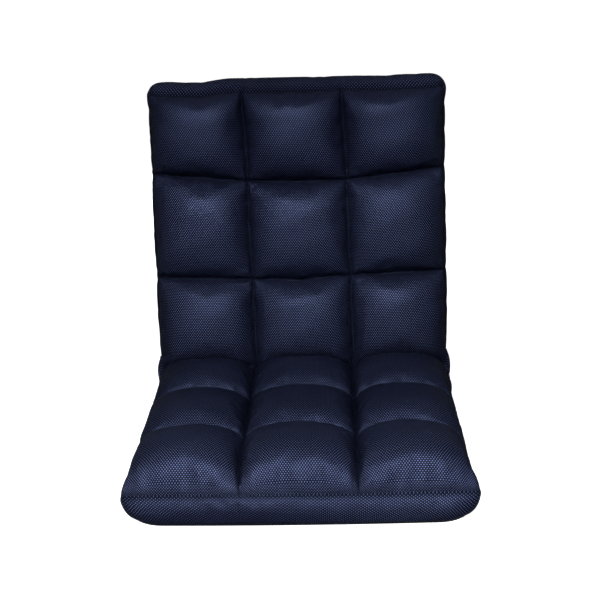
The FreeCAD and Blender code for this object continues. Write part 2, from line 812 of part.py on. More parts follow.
def gusset(label):
    """Ruched cloth and wadding over the outside of one hinge, in its rest shape."""
    body = new_body(label)
    rest = size("rest_angle")
    thick = size("gusset_thick")
    low = f"({size('slab_bottom')} + {size('soft_gap')})"
    high = f"({size('slab_top')} - {size('soft_gap')})"
    reach = size("notch_length")
    for name, angle, direction in (("seat_leg", "0", -1), ("back_leg", rest, 1)):
        leg = sketch_on(body, f"{label}_{name}", "YZ_Plane")
        points = (("0", low), (f"{direction} * {reach}", low), (f"{direction} * {reach}", high), ("0", high))
        outline(leg, [(*turned(out, across, angle), None) for out, across in points])
        extrude(body, leg, thick, centred=True)
    heel = sketch_on(body, f"{label}_heel", "YZ_Plane")
    far_y, far_z = turned("0", low, rest)
    outline(heel, [("0", "0", None), ("0", low, ("0", "0")), (far_y, far_z, None)])
    extrude(body, heel, thick, centred=True)
    cap = sketch_on(body, f"{label}_cap", "YZ_Plane")
    circle(cap, "0", "0", size("gusset_radius"))
    extrude(body, cap, thick, centred=True)
    return body


def rear_wrap(label):
    """Cloth that runs round behind the hinges from the base cloth to the back's rear cloth."""
    body = new_body(label)
    rest = size("rest_angle")
    outside = f"-{size('hinge_height')}"
    inside = f"({size('cloth_thick')} - {size('hinge_height')})"
    band = sketch_on(body, f"{label}_band", "YZ_Plane")
    outer_far = turned("0", outside, rest)
    inner_far = turned("0", inside, rest)
    corners = [
        ("0", outside, ("0", "0")),
        (*outer_far, None),
        (*inner_far, ("0", "0")),
        ("0", inside, None),
    ]
    outline(band, corners)
    extrude(body, band, size("back_width"), centred=True)
    return body


half_gap = f"({size('arm_thick')} / 2 + {size('arm_side_gap')})"
plate_middle = f"({half_gap} + {size('plate_thick')} / 2)"
stack_half = f"({half_gap} + {size('plate_thick')})"
rivet_size = (size("rivet_radius"), size("rivet_head_radius"), size("rivet_head_height"))

for side_name, side in SIDES:
    hinge_x = f"{side} * {size('tube_side')}"
    for plate_name, offset in (("outer", side), ("inner", -side)):
        plate = hinge_plate(f"hinge_{plate_name}_plate_{side_name}")
        place(plate, SEAT, f"{hinge_x} + {offset} * {plate_middle}")
        nodes.append(plate)

    pivot_size = (size("pivot_radius"), size("pivot_head_radius"), size("pivot_head_height"))
    pivot = rivets(f"hinge_pivot_rivet_{side_name}", [("0", "0")], *pivot_size, stack_half)
    pin_size = (size("pawl_pin_radius"), size("pawl_pin_head_radius"), size("rivet_head_height"))
    pawl_pin = rivets(f"hinge_pawl_pin_{side_name}", [pawl_pin_spot()], *pin_size, stack_half)
    drop = f"-{size('tube_drop')}"
    plate_spots = [
        (f"-{size('seat_rivet_first')}", drop),
        (f"-{size('seat_rivet_second')}", drop),
        spring_post_spot(),
    ]
    plate_rivets = rivets(f"hinge_plate_rivets_{side_name}", plate_spots, *rivet_size, stack_half)
    catch = pawl(f"hinge_pawl_{side_name}")
    spring = pawl_spring(f"hinge_pawl_spring_{side_name}")
    for item in (pivot, pawl_pin, plate_rivets, catch, spring):
        place(item, SEAT, hinge_x)
        nodes.append(item)

    arm = ratchet_arm(f"hinge_ratchet_arm_{side_name}")
    arm_spots = [(size("back_rivet_first"), drop), (size("back_rivet_second"), drop)]
    arm_rivets = rivets(f"hinge_arm_rivets_{side_name}", arm_spots, *rivet_size, size("tube_radius"))
    for item in (arm, arm_rivets):
        place(item, BACK, hinge_x)
        nodes.append(item)

    side_cover = gusset(f"hinge_gusset_{side_name}")
    place(side_cover, SEAT, f"{side} * ({half_width(BACK)} - {size('gusset_thick')} / 2)")
    nodes.append(side_cover)

wrap = rear_wrap("hinge_rear_wrap")
place(wrap, SEAT)
nodes.append(wrap)

# Recompute, check and export.
doc.recompute()
faults = []
for item in doc.Objects:
    if "Invalid" in item.State or "Error" in item.State:
        faults.append(f"{item.Label}: {item.State}")
for node in nodes:
    if node.Shape.isNull() or not node.Shape.isValid() or node.Shape.Volume <= 0:
        faults.append(f"{node.Label}: shape is not sound")
if faults:
    raise RuntimeError("; ".join(faults))

for node in nodes:
    node.Shape.exportStep(os.path.join("parts", f"{node.Label}.step"))
print(f"{len(nodes)} nodes exported")
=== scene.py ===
import json
import math

import bpy
import numpy as np
from mathutils import Matrix, Vector


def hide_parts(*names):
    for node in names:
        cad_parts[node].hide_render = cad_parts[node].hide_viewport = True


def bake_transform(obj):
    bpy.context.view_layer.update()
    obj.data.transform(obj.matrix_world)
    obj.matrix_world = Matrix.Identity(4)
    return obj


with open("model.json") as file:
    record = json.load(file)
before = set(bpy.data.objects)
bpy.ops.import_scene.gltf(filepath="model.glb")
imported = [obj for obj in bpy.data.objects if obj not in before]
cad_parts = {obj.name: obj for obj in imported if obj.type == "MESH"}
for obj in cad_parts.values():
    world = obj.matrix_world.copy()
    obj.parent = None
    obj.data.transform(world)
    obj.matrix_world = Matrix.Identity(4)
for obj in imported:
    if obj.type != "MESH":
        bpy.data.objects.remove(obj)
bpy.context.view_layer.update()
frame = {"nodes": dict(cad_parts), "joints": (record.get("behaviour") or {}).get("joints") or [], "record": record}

# Folding floor chair: quilted mesh cover, base and rear cloths, gathered cloth over the hinges,
# seam stitches, finishes for the steel parts inside, and the studio stage.

bl_info = {
    "name": "Folding floor chair",
    "version": (1, 0, 0),
    "blender": (4, 5, 0),
    "location": "3D View > Sidebar > Floor Chair",
    "description": "Makes the cloth, stitching and finishes of a folding floor chair",
    "category": "Object",
}

RECLINE = next(joint for joint in frame["joints"] if joint["name"] == "back_recline")
HINGE_Y, HINGE_Z = RECLINE["pos_m"][1], RECLINE["pos_m"][2]
REST = math.radians(RECLINE["range_deg"][1])
MM = 0.001
# The crease halves the angle between the seat and the back.
CREASE_SLOPE = math.tan((math.pi - REST) / 2)
# Half the arc that the underside runs through round the hinge axis.
ARC_HALF = REST / 2
# Quilted cells along and across the chair, and grid steps in each cell.
ROWS = 6
COLUMNS = 3
STEPS = 28
# The wall between the edge seam and the underside: how far down each ring of points lies.
RING_SHARES = (0.05, 0.14, 0.26, 0.4, 0.54, 0.68, 0.8, 0.9, 0.97)
# Corner radii of the cover's underside and of the cloths on it, at the seat's front and the back's top.
FRONT_CORNER = 46 * MM
TOP_CORNER = 16 * MM
# Cloth simulation.
SIMULATED_FRAMES = 20
FACE_TRAVEL = 7.0 * MM
WALL_TRAVEL = 1.0 * MM
# Gathers over the hinge.
FAN_RADIUS = 47.0 * MM
FAN_START = 3 * MM
FAN_HALF_ANGLE = math.radians(121)
PLEATS = 17
FINE_PLEATS = 41
# Camera fitted to the photo: focal length in pixels of a picture 600 pixels wide.
PHOTO_FOCAL = 1365
PHOTO_WIDTH = 600
CAMERA_PLACE = (0.0572, -2.035, 0.837)
CAMERA_TURNS = (-1.49, 15.74, -1.86)


class ChairSizes(bpy.types.PropertyGroup):
    """Sizes of the soft parts."""

    half_width: bpy.props.FloatProperty(
        name="Half width", description="From the middle to the seam along each side",
        default=253 * MM, unit="LENGTH")
    under_half_width: bpy.props.FloatProperty(
        name="Underside half width", description="From the middle to the edge of the base cloth",
        default=245 * MM, unit="LENGTH")
    seat_front: bpy.props.FloatProperty(
        name="Seat front", description="From the hinge axis to the seam along the seat's front",
        default=506 * MM, unit="LENGTH")
    back_top: bpy.props.FloatProperty(
        name="Back top", description="From the hinge axis to the seam along the back's top",
        default=500 * MM, unit="LENGTH")
    column_seam: bpy.props.FloatProperty(
        name="Column seam", description="From the middle to each seam that runs front to back",
        default=85 * MM, unit="LENGTH")
    seam_rise: bpy.props.FloatProperty(
        name="Seam height", description="Height of the sewn valleys above the hinge axis",
        default=22 * MM, unit="LENGTH")
    puff_rise: bpy.props.FloatProperty(
        name="Puff height", description="Rise of each puff above the sewn valleys",
        default=39 * MM, unit="LENGTH")
    edge_rise: bpy.props.FloatProperty(
        name="Edge height", description="Height of the front and side seams above the hinge axis",
        default=-4 * MM, unit="LENGTH")
    pad_depth: bpy.props.FloatProperty(
        name="Pad depth", description="From the hinge axis down to the underside of the pad",
        default=48.4 * MM, unit="LENGTH")
    cloth_level: bpy.props.FloatProperty(
        name="Cloth depth", description="From the hinge axis to the middle of the base cloth",
        default=49.3 * MM, unit="LENGTH")


class ChairColours(bpy.types.PropertyGroup):
    """Colours of the cloths and the weave of the mesh."""

    mesh_yarn: bpy.props.FloatVectorProperty(
        name="Mesh yarn", description="Colour of the knitted yarn",
        subtype="COLOR", size=4, min=0, max=1, default=(0.0065, 0.0083, 0.023, 1))
    mesh_shine: bpy.props.FloatVectorProperty(
        name="Yarn crown", description="Colour of the yarn where it catches light",
        subtype="COLOR", size=4, min=0, max=1, default=(0.125, 0.157, 0.340, 1))
    # The hole colour is painted shade: the inner layer of the mesh as it looks in the shade of a hole.
    mesh_hole: bpy.props.FloatVectorProperty(
        name="Mesh hole", description="Colour seen through the holes of the mesh",
        subtype="COLOR", size=4, min=0, max=1, default=(0.002, 0.0025, 0.006, 1))
    mesh_pitch: bpy.props.FloatProperty(
        name="Mesh pitch", description="Distance between slanting rows of holes",
        default=3.2 * MM, unit="LENGTH")
    lining: bpy.props.FloatVectorProperty(
        name="Base cloth", description="Colour of the plain cloth under the seat",
        subtype="COLOR", size=4, min=0, max=1, default=(0.012, 0.012, 0.015, 1))
    backing: bpy.props.FloatVectorProperty(
        name="Rear cloth", description="Colour of the plain cloth behind the back",
        subtype="COLOR", size=4, min=0, max=1, default=(0.020, 0.024, 0.060, 1))


class StageSettings(bpy.types.PropertyGroup):
    """Floor and lights."""

    floor_colour: bpy.props.FloatVectorProperty(
        name="Floor", description="Colour of the studio floor",
        subtype="COLOR", size=4, min=0, max=1, default=(0.88, 0.88, 0.88, 1))
    key_power: bpy.props.FloatProperty(
        name="Key light", description="Power of the soft light in front",
        default=82, min=0, unit="POWER")
    fill_power: bpy.props.FloatProperty(
        name="Top light", description="Power of the soft light overhead",
        default=1.5, min=0, unit="POWER")
    low_power: bpy.props.FloatProperty(
        name="Low light", description="Power of the narrow light near the floor in front",
        default=0.45, min=0, unit="POWER")
    rear_power: bpy.props.FloatProperty(
        name="Rear light", description="Power of the soft light behind",
        default=22, min=0, unit="POWER")


# Places on the two pads. Each pad is measured lying flat: along it from the hinge axis, and
# rising from the level of the axis towards the person who sits on it.
def seat_place(x, along, rise):
    """Row-frame points of the seat: y is the axis less the run along it, z the axis plus the rise."""
    return np.stack(np.broadcast_arrays(x, HINGE_Y - along, HINGE_Z + rise), axis=-1)


def back_place(x, along, rise):
    """Row-frame points of the back: the flat pad turned up about the hinge axis by the rest angle."""
    y = HINGE_Y + along * math.cos(REST) - rise * math.sin(REST)
    z = HINGE_Z + along * math.sin(REST) + rise * math.cos(REST)
    return np.stack(np.broadcast_arrays(x, y, z), axis=-1)


def under_place(x, run, depth):
    """Points under and behind the pads: straight under the seat, round the hinge axis, then straight up
    the back. The run is counted from the middle of the arc, negative towards the seat's front."""
    x, run, depth = np.broadcast_arrays(x, run, depth)
    corner = ARC_HALF * depth
    turn = np.clip(run, -corner, corner) / depth - math.pi / 2 + ARC_HALF
    arc = np.stack([x, HINGE_Y + depth * np.cos(turn), HINGE_Z + depth * np.sin(turn)], axis=-1)
    seat = seat_place(x, -run - corner, -depth)
    back = back_place(x, run - corner, -depth)
    under_seat = (run < -corner)[..., None]
    behind = (run > corner)[..., None]
    return np.where(under_seat, seat, np.where(behind, back, arc))


def cell_lines(cells, steps, crowd=0.55):
    """Lines across a run of quilted cells: the number of the cell and the place in it from -1 to 1. The
    place is a mix of an even step and a sine, which sets the lines closer together beside the seams."""
    even = np.linspace(-1, 1, steps + 1)
    place = (1 - crowd) * even + crowd * np.sin(even * np.pi / 2)
    number = np.repeat(np.arange(cells), steps)
    return np.append(number, cells - 1), np.append(np.tile(place[:-1], cells), 1.0)


def swell(place, power=2.4):
    """Height of a stuffed cell across one direction: the root of one less a power of the place."""
    return np.sqrt(np.clip(1 - np.abs(place) ** power, 0, 1))


def smooth(value):
    """Smooth step from 0 to 1."""
    value = np.clip(value, 0, 1)
    return value * value * (3 - 2 * value)


def ripple(first, second, seed, waves=6, longest=0.16, shortest=0.05):
    """Gentle unevenness: a sum of plane waves with seeded directions, lengths and phases."""
    chance = np.random.default_rng(seed)
    total = np.zeros(np.broadcast(first, second).shape)
    for _ in range(waves):
        length = chance.uniform(shortest, longest)
        angle, phase = chance.uniform(0, 2 * np.pi, 2)
        run = first * math.cos(angle) + second * math.sin(angle)
        total = total + np.sin(run * 2 * np.pi / length + phase)
    return total / waves


def round_corner(x, along, half_width, end, radius):
    """Rounds the outer corners of a flat outline: the corner square is drawn onto a quarter disc, each
    coordinate times the root of one less half the square of the other."""
    side = np.clip((np.abs(x) - (half_width - radius)) / radius, 0, 1)
    front = np.clip((along - (end - radius)) / radius, 0, 1)
    round_x = half_width - radius + radius * side * np.sqrt(1 - front**2 / 2)
    round_along = end - radius + radius * front * np.sqrt(1 - side**2 / 2)
    new_x = np.where(side > 0, round_x, np.abs(x))
    new_along = np.where(front > 0, round_along, along)
    return np.sign(x) * new_x, new_along


# Meshes.
def mesh_object(name, points, faces, uv=None, material=None):
    """New mesh object whose points are in the row frame, with a UV map in metres."""
    mesh = bpy.data.meshes.new(name)
    mesh.from_pydata(np.asarray(points, float).reshape(-1, 3).tolist(), [], np.asarray(faces).tolist())
    if uv is not None:
        layer = mesh.uv_layers.new(name="cloth")
        layer.uv.foreach_set("vector", np.asarray(uv, np.float32).ravel())
    mesh.validate()
    mesh.update()
    mesh.polygons.foreach_set("use_smooth", np.ones(len(mesh.polygons), bool))
    if material:
        mesh.materials.append(material)
    item = bpy.data.objects.new(name, mesh)
    bpy.context.scene.collection.objects.link(item)
    return item


def grid_faces(rows, columns, start=0, wrap=False):
    """Quads of a grid of points, counted along each row; wrap joins the last column to the first."""
    count = columns if wrap else columns - 1
    row, column = np.meshgrid(np.arange(rows - 1), np.arange(count), indexing="ij")
    after = (column + 1) % columns
    near, far = row * columns, (row + 1) * columns
    return np.stack((near + column, near + after, far + after, far + column), axis=-1).reshape(-1, 4) + start


def apply_modifiers(item):
    """Leaves the item with the mesh that its modifiers give."""
    bpy.context.view_layer.update()
    graph = bpy.context.evaluated_depsgraph_get()
    mesh = bpy.data.meshes.new_from_object(item.evaluated_get(graph), preserve_all_data_layers=True,
                                           depsgraph=graph)
    old = item.data
    item.modifiers.clear()
    item.data = mesh
    bpy.data.meshes.remove(old)
    mesh.name = item.name
    mesh.polygons.foreach_set("use_smooth", np.ones(len(mesh.polygons), bool))


def subdivide(item):
    """One round of subdivision, applied."""
    modifier = item.modifiers.new("finer", "SUBSURF")
    modifier.levels = modifier.render_levels = 1
    modifier.uv_smooth = "NONE"
    apply_modifiers(item)


def grid_normals(grid):
    """Unit normals of a grid of points: the cross product of the runs across and along it."""
    across = np.gradient(grid, axis=1)
    along = np.gradient(grid, axis=0)
    normal = np.cross(across, along)
    return normal / np.maximum(np.linalg.norm(normal, axis=-1, keepdims=True), 1e-12)


def bend_with_back(item):
    """Bakes the item's placement into its mesh. The item is made in the rest pose, the seat in front of the crease
    and the back above it; nothing here bends it.
    """
    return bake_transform(item)


# The quilted cover.
def seam_lines(x):
    """Runs from the hinge axis, at each x, of the front seam, the seat's two cross seams, the back's two and
    the top seam. They bend towards the sides, as the cover is pulled round its edges."""
    sizes = bpy.context.scene.chair_sizes
    x = np.asarray(x, float)
    half = sizes.half_width
    front = sizes.seat_front + 0.020 * x - 5 * MM * (x / half) ** 2
    front_seam = np.interp(x, [-0.25, -0.085, 0, 0.085, 0.25], [0.346, 0.342, 0.343, 0.346, 0.350])
    rear_seam = np.interp(x, [-0.25, -0.085, 0, 0.085, 0.25], [0.176, 0.171, 0.172, 0.174, 0.180])
    low_seam = np.interp(x, [-0.25, -0.083, 0, 0.086, 0.25], [0.186, 0.180, 0.177, 0.183, 0.187])
    high_seam = np.interp(x, [-0.25, -0.085, 0, 0.083, 0.25], [0.366, 0.350, 0.3475, 0.348, 0.365])
    top = sizes.back_top + np.interp(x, [-0.25, -0.16, -0.12, 0.15, 0.25], [1, -3, 2, 0, 3]) * MM
    return front, front_seam, rear_seam, low_seam, high_seam, top


def seam_distance(row_cell, along_place, column_cell, across_place):
    """Rough distance to the nearest inner seam: the place's distance from the cell's edge times half the
    cell's size. The edges of the chair and the crease do not count."""
    side_edge = ((column_cell == 0) & (across_place < 0)) | ((column_cell == 2) & (across_place > 0))
    far_edge = ((row_cell == 0) & (along_place < 0)) | ((row_cell == 5) & (along_place > 0))
    crease_edge = ((row_cell == 2) & (along_place > 0)) | ((row_cell == 3) & (along_place < 0))
    across = np.where(side_edge, 1.0, (1 - np.abs(across_place)) * 85 * MM)
    along = np.where(far_edge | crease_edge, 1.0, (1 - np.abs(along_place)) * 82 * MM)
    return np.minimum(across, along)


def cover_grids():
    """The cover's face and underside as two grids of points with the same lines.

    Face: each of the three by six cells rises over the sewn valleys by the swell across times the swell
    along. The valleys fall to the edge seams along the sides and front, and beside the crease the face
    stays under the plane that halves the angle between the pads. Underside: the pads' undersides, joined
    by an arc round the hinge axis."""
    sizes = bpy.context.scene.chair_sizes
    row_cell, along_place = cell_lines(ROWS, STEPS)
    column_cell, across_place = cell_lines(COLUMNS, STEPS)
    row_cell, along_place = row_cell[:, None], along_place[:, None]
    column_cell, across_place = column_cell[None, :], across_place[None, :]
    on_seat = row_cell < 3
    half = sizes.half_width
    seam = sizes.column_seam
    even_lines = np.array([-half, -seam, seam, half])
    even_x = even_lines[column_cell] + (across_place + 1) / 2 * np.diff(even_lines)[column_cell]

    # Valleys: full height inside, falling over the outer half of the side cells.
    outer_side = np.where(column_cell == 0, np.clip(-across_place, 0, 1),
                          np.where(column_cell == 2, np.clip(across_place, 0, 1), 0))
    hinge_near = np.where(row_cell == 2, smooth((along_place - 0.2) / 0.8),
                          np.where(row_cell == 3, smooth((-along_place - 0.2) / 0.8), 0))
    shoulder = 2.6 + 5.4 * hinge_near
    side_fall = np.sqrt(np.clip(1 - outer_side**shoulder, 0, 1))
    outer_front = np.where(row_cell == 0, np.clip(-along_place, 0, 1), 0)
    front_fall = np.sqrt(np.clip(1 - outer_front**2.2, 0, 1))
    drop = sizes.seam_rise - sizes.edge_rise
    valley = sizes.edge_rise + drop * side_fall * front_fall
    outer_top = np.where(row_cell == 5, np.clip(along_place, 0, 1), 0)
    valley = valley + 6 * MM * smooth(outer_top) * side_fall

    # Runs along the pads.
    crease_rise = sizes.edge_rise + drop * np.sqrt(np.clip(1 - outer_side**8, 0, 1))
    crease = crease_rise / CREASE_SLOPE
    front, front_seam, rear_seam, low_seam, high_seam, top = seam_lines(even_x)
    lines = np.concatenate([front, front_seam, rear_seam, crease, low_seam, high_seam, top])
    column_index = np.arange(even_x.shape[1])[None, :]
    begin = lines[row_cell, column_index]
    finish = lines[row_cell + 1, column_index]
    along = begin + (along_place + 1) / 2 * (finish - begin)

    # Puffs.
    chance = np.random.default_rng(11)
    height = sizes.puff_rise + chance.uniform(-1.5, 1.5, (ROWS, COLUMNS)) * MM
    height[0] += 1 * MM
    puff = height[row_cell, column_cell] * swell(across_place) * swell(along_place)
    sag = np.where(on_seat, 0.0, -0.06 * smooth(1 - np.abs(along_place)))
    rise = valley + puff * (1 + sag * along_place)
    to_seam = seam_distance(row_cell, along_place, column_cell, across_place)
    rise = rise - 5 * MM * np.exp(-to_seam / (2.5 * MM)) * side_fall * front_fall
    ramp = np.clip((along - crease) / (10 * MM), 0, 1)
    limit = along * CREASE_SLOPE - 0.4 * MM * ramp
    soften = 3 * MM * ramp + 1e-6
    rise = np.minimum(rise, limit) - soften * np.log1p(np.exp(-np.abs(rise - limit) / soften))

    # Places across, with the sides pulled in a little at each cross seam and flared at the ears.
    ear = np.where(on_seat, smooth((along - 0.465) / 0.040), 0.5 * smooth((along - 0.47) / 0.03))
    pull = 2.5 * MM * (1 - swell(along_place, 2)) * np.where((row_cell == 0) & (along_place < 0), 0, 1)
    wide = half + 6 * MM * ear - pull
    lean = np.interp(along, [0.05, 0.18, 0.28, 0.39, 0.49], [3.5, 1.5, -1, -2, -7])
    lean = np.where(on_seat, 0, lean) * MM
    lean = lean * np.clip(1 - ((np.abs(even_x) - seam) / (half - seam)), 0, 1)
    widened = 1 + (wide / half - 1) * (np.abs(even_x) - seam) / (half - seam)
    x = even_x * np.where(np.abs(even_x) > seam, widened, 1)
    x = x + lean
    end = np.where(on_seat, front, top)
    x, along = round_corner(x, along, wide, end, np.where(on_seat, 9 * MM, 10 * MM))
    face = np.where(on_seat[..., None], seat_place(x, along, rise), back_place(x, along, rise))

    # Underside, with more cloth round the hinge than the crease has.
    depth = sizes.pad_depth
    corner = ARC_HALF * depth
    from_crease = along - crease
    reach = from_crease + (corner + crease) * (1 - np.exp(-from_crease / 0.040))
    under_end = np.where(on_seat, front - 3 * MM, top + 12 * MM)
    face_end = np.where(on_seat, front, top)
    reach = reach * (under_end + corner) / (face_end + corner)
    under_x = even_x * sizes.under_half_width / half
    under_x, reach = round_corner(under_x, reach, sizes.under_half_width, under_end + corner,
                                  np.where(on_seat, FRONT_CORNER, TOP_CORNER))
    under = under_place(under_x, np.where(on_seat, -reach, reach), depth)
    return face, under, row_cell, along_place, column_cell, across_place


def perimeter(rows, columns):
    """Row and column numbers round the edge of a grid: front, right side, top, left side."""
    row = np.concatenate([np.zeros(columns), np.arange(1, rows), np.full(columns - 1, rows - 1),
                          np.arange(rows - 2, 0, -1)])
    column = np.concatenate([np.arange(columns), np.full(rows - 1, columns - 1),
                             np.arange(columns - 2, -1, -1), np.zeros(rows - 2)])
    return row.astype(int), column.astype(int)


def cover_walls(face, under):
    """Rings of points between the edge seam and the underside's edge: the straight line between them, plus
    an outward bulge that is a power of four times the share down times the share left."""
    rows, columns = face.shape[:2]
    row, column = perimeter(rows, columns)
    seam_loop, base_loop = face[row, column], under[row, column]
    middle = (seam_loop + base_loop) / 2
    forward = np.roll(middle, -3, axis=0) - np.roll(middle, 3, axis=0)
    outward = np.cross(forward, seam_loop - base_loop)
    for _ in range(6):
        outward = outward / np.maximum(np.linalg.norm(outward, axis=-1, keepdims=True), 1e-12)
        outward = np.roll(outward, 1, axis=0) + 2 * outward + np.roll(outward, -1, axis=0)
    outward = outward / np.linalg.norm(outward, axis=-1, keepdims=True)
    at_top = (row == rows - 1).astype(float)
    for _ in range(40):
        at_top = (np.roll(at_top, 1) + 2 * at_top + np.roll(at_top, -1)) / 4
    to_hinge = np.hypot(middle[:, 1] - HINGE_Y, middle[:, 2] - HINGE_Z)
    bulge = (7 + 10 * at_top) * MM * (0.25 + 0.75 * smooth(to_hinge / 0.09 - 0.35))
    share = np.array(RING_SHARES)[:, None, None]
    rings = seam_loop + (base_loop - seam_loop) * share
    rings = rings + outward * bulge[:, None] * (4 * share * (1 - share)) ** 0.75
    return row, column, rings, outward


def cover_mesh():
    """The closed cover: its points, quads, UV, which points are held, the grid of its face, and how much
    painted shade each point gets beside a seam and in the fold."""
    face, under, row_cell, along_place, column_cell, across_place = cover_grids()
    rows, columns = face.shape[:2]

    # Puckers run away from the seams, and the stuffing is a little uneven.
    step_x = np.linalg.norm(np.gradient(face, axis=1), axis=-1)
    step_y = np.linalg.norm(np.gradient(face, axis=0), axis=-1)
    run_x = np.cumsum(step_x[STEPS // 2])[None, :]
    run_y = np.cumsum(step_y[:, STEPS // 2])[:, None]
    to_column = (1 - np.abs(across_place)) * 0.085
    to_row = (1 - np.abs(along_place)) * 0.085
    beside_column = np.exp(-to_column / 0.020) * (1 - np.exp(-to_column / 0.004))
    beside_row = np.exp(-to_row / 0.020) * (1 - np.exp(-to_row / 0.004))
    pucker = beside_column * ripple(run_y, 0 * run_x, 3, 9, 0.034, 0.013)
    pucker = pucker + beside_row * ripple(0 * run_y, run_x, 5, 9, 0.034, 0.013)
    lump = ripple(run_x, run_y, 7) * swell(across_place) * swell(along_place)
    face = face + grid_normals(face) * (2.6 * MM * pucker + 1.6 * MM * lump)[..., None]

    # The edge seam is tucked in, so that a thin groove runs between the face and the band.
    row, column, rings, outward = cover_walls(face, under)
    face[row, column] -= outward * 1.4 * MM
    loop = len(row)
    points = np.concatenate([face.reshape(-1, 3), under.reshape(-1, 3), rings.reshape(-1, 3)])
    face_quads = grid_faces(rows, columns)
    under_quads = grid_faces(rows, columns, rows * columns)[:, ::-1]
    ids = np.concatenate([[row * columns + column],
                          2 * rows * columns + np.arange(rings.shape[0] * loop).reshape(-1, loop),
                          [rows * columns + row * columns + column]])
    after = np.roll(ids, -1, axis=1)
    wall_quads = np.stack([ids[:-1], ids[1:], after[1:], after[:-1]], axis=-1)

    # UV in metres: run over the crowns on the face, run round the edge and down it on the walls. The starts
    # put the front seam between two rows of knots.
    over_x = np.linalg.norm(np.diff(face, axis=1), axis=-1)[STEPS // 2]
    over_y = np.linalg.norm(np.diff(face, axis=0), axis=-1)[:, STEPS // 2]
    u = np.cumsum(np.append([0], over_x))
    v = 1.36 * MM + np.cumsum(np.append([0], over_y))
    flat = np.stack(np.meshgrid(u, v), axis=-1).reshape(-1, 2)
    face_uv = flat[face_quads]
    under_uv = flat[under_quads - rows * columns] + 2.0
    loop_points = np.concatenate([[face[row, column]], rings, [under[row, column]]])
    closed = np.concatenate([loop_points[:1], loop_points[:1, :1]], axis=1)
    round_run = np.concatenate([[0], np.cumsum(np.linalg.norm(np.diff(closed[0], axis=0), axis=-1))])
    down = np.linalg.norm(np.diff(loop_points[:, columns // 2], axis=0), axis=-1)
    down_run = np.cumsum(np.concatenate([[0], down]))
    levels = len(ids) - 1
    first, second = round_run[:-1], round_run[1:]
    low, high = down_run[:-1, None], down_run[1:, None]
    blank = np.zeros((levels, loop))
    corners = ((low, first), (high, first), (high, second), (low, second))
    wall_uv = np.stack([np.stack([down + blank, run + blank], -1) for down, run in corners], -2)
    wall_uv = wall_uv + np.array([5.0005, 5.0])
    quads = np.concatenate([face_quads, under_quads, wall_quads.reshape(-1, 4)])
    uv = np.concatenate([face_uv.reshape(-1, 2), under_uv.reshape(-1, 2), wall_uv.reshape(-1, 2)])

    # Held points: every seam, the underside and the wall's last ring.
    seam_row = np.arange(rows) % STEPS == 0
    seam_column = np.arange(columns) % STEPS == 0
    held = (seam_row[:, None] | seam_column[None, :]).ravel()
    pins = np.concatenate([held, np.ones(rows * columns, bool), np.zeros(rings.shape[0] * loop, bool)])
    pins[-loop:] = True

    # Painted shade, not a colour of the cloth: most at the seams and in the fold between seat and back.
    to_seam = seam_distance(row_cell, along_place, column_cell, across_place)
    painted_shade = 0.85 * np.exp(-to_seam / (3.0 * MM))
    # Painted shade along the edge seam's groove, whose lip would otherwise catch the light.
    edge_painted_shade = np.zeros((rows, columns))
    edge_painted_shade[row, column] = 0.7
    painted_shade = np.maximum(painted_shade, edge_painted_shade)
    # Painted shade in the fold, fading over about a third of a cell from the crease.
    fold = np.where(row_cell == 2, (1 - along_place) / 2, 9.0)
    fold = np.where(row_cell == 3, (1 + along_place) / 2, fold)
    painted_shade = np.maximum(painted_shade, 0.75 * np.exp(-fold / 0.33))
    # Painted shade on the wall's first ring, just below the edge seam.
    ring_painted_shade = np.repeat([0.4] + [0] * (len(RING_SHARES) - 1), loop)
    painted_shade = np.concatenate([painted_shade.ravel(), np.zeros(rows * columns), ring_painted_shade])
    return points, quads, uv, pins, face, painted_shade


def stuff(item, pins, pressure, most):
    """Blows the cover up as cloth with its seams and underside held, and keeps each point within its own
    given distance of where it began."""
    rest = np.empty(len(item.data.vertices) * 3)
    item.data.vertices.foreach_get("co", rest)
    rest = rest.reshape(-1, 3)
    group = item.vertex_groups.new(name="held")
    group.add(np.flatnonzero(pins).tolist(), 1.0, "REPLACE")
    cloth = item.modifiers.new("stuffing", "CLOTH")
    settings = cloth.settings
    settings.quality = 6
    settings.mass = 0.25
    settings.tension_stiffness = settings.compression_stiffness = 12
    settings.shear_stiffness = 6
    settings.bending_stiffness = 0.15
    settings.use_pressure = True
    settings.uniform_pressure_force = pressure
    settings.shrink_min = -0.03
    settings.effector_weights.gravity = 0
    settings.vertex_group_mass = "held"
    cloth.collision_settings.use_collision = False
    cloth.point_cache.frame_start = 1
    cloth.point_cache.frame_end = SIMULATED_FRAMES
    scene = bpy.context.scene
    for number in range(1, SIMULATED_FRAMES + 1):
        scene.frame_set(number)
    evaluated = item.evaluated_get(bpy.context.evaluated_depsgraph_get())
    moved = np.empty(len(rest) * 3)
    evaluated.data.vertices.foreach_get("co", moved)
    move = moved.reshape(-1, 3) - rest
    length = np.maximum(np.linalg.norm(move, axis=1, keepdims=True), 1e-12)
    move = move / length * most * np.tanh(length / most)
    item.modifiers.clear()
    item.vertex_groups.clear()
    item.data.vertices.foreach_set("co", (rest + move).ravel())
    item.data.update()
    scene.frame_set(1)


